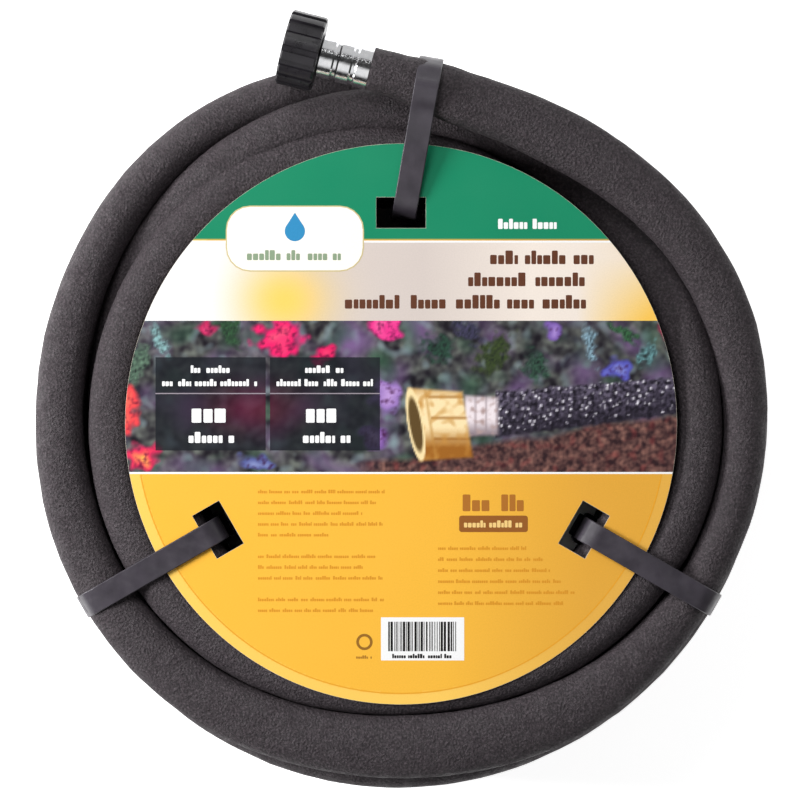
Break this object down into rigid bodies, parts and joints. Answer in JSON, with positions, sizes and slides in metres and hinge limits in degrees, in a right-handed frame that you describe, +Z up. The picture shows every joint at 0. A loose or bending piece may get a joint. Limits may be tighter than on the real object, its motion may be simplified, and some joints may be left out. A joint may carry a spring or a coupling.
{
  "type": "soaker hose",
  "caption": "Porous garden soaker hose, flat coil tied round a round display card, with a swivel threaded inlet coupling and a screw-capped outlet.",
  "frame": {"origin": "middle of the footprint, inlet coupling included, on the surface that the coil lies on; the coil's axis is at x = 0, y = -10 mm", "axes": "+Z up along the coil's axis, card upwards; +Y towards the side where the inlet coupling sticks out; the outlet inside the coil points to +X"},
  "size_m": [0.3346, 0.354, 0.1301],
  "materials": {
    "hose": "matte, porous",
    "coupling_plastic": "semi-gloss",
    "ferrule": "polished",
    "seal": "matte",
    "disc_plastic": "matte",
    "card": "coated print",
    "tie_plastic": "satin"
  },
  "bodies": {
    "coil": {"hose_coil": "hose", "hose_top_turn": "hose", "hose_tail": "hose", "inlet_stem": "coupling_plastic", "inlet_ferrule": "ferrule", "inlet_washer": "seal", "flow_disc": "disc_plastic", "outlet_stem": "coupling_plastic", "outlet_ferrule": "ferrule", "label_card": "card", "tie_top": "tie_plastic", "tie_left": "tie_plastic", "tie_right": "tie_plastic"},
    "nut": {"inlet_nut": "coupling_plastic"},
    "cap_seal": {"cap_washer": "seal"},
    "cap": {"end_cap": "coupling_plastic"}
  },
  "joints": [
    {"name": "nut_spin", "type": "hinge", "parent": "coil", "child": "nut", "pos_m": [-0.04471, 0.15855, 0.113], "axis": [-0.9682, 0.2501, 0], "continuous": true},
    {"name": "cap_travel", "type": "slide", "parent": "coil", "child": "cap_seal", "axis": [0.9659, -0.259, 0], "range_m": [0, 0.01105]},
    {"name": "cap_turn", "type": "hinge", "parent": "cap_seal", "child": "cap", "pos_m": [0.04849, 0.05459, 0.0165], "axis": [0.9659, -0.259, 0], "range_deg": [0, 1800]}
  ],
  "couplings": [
    {"joint": "cap_travel", "follows": "cap_turn", "m_per_rad": 0.00035153}
  ]
}
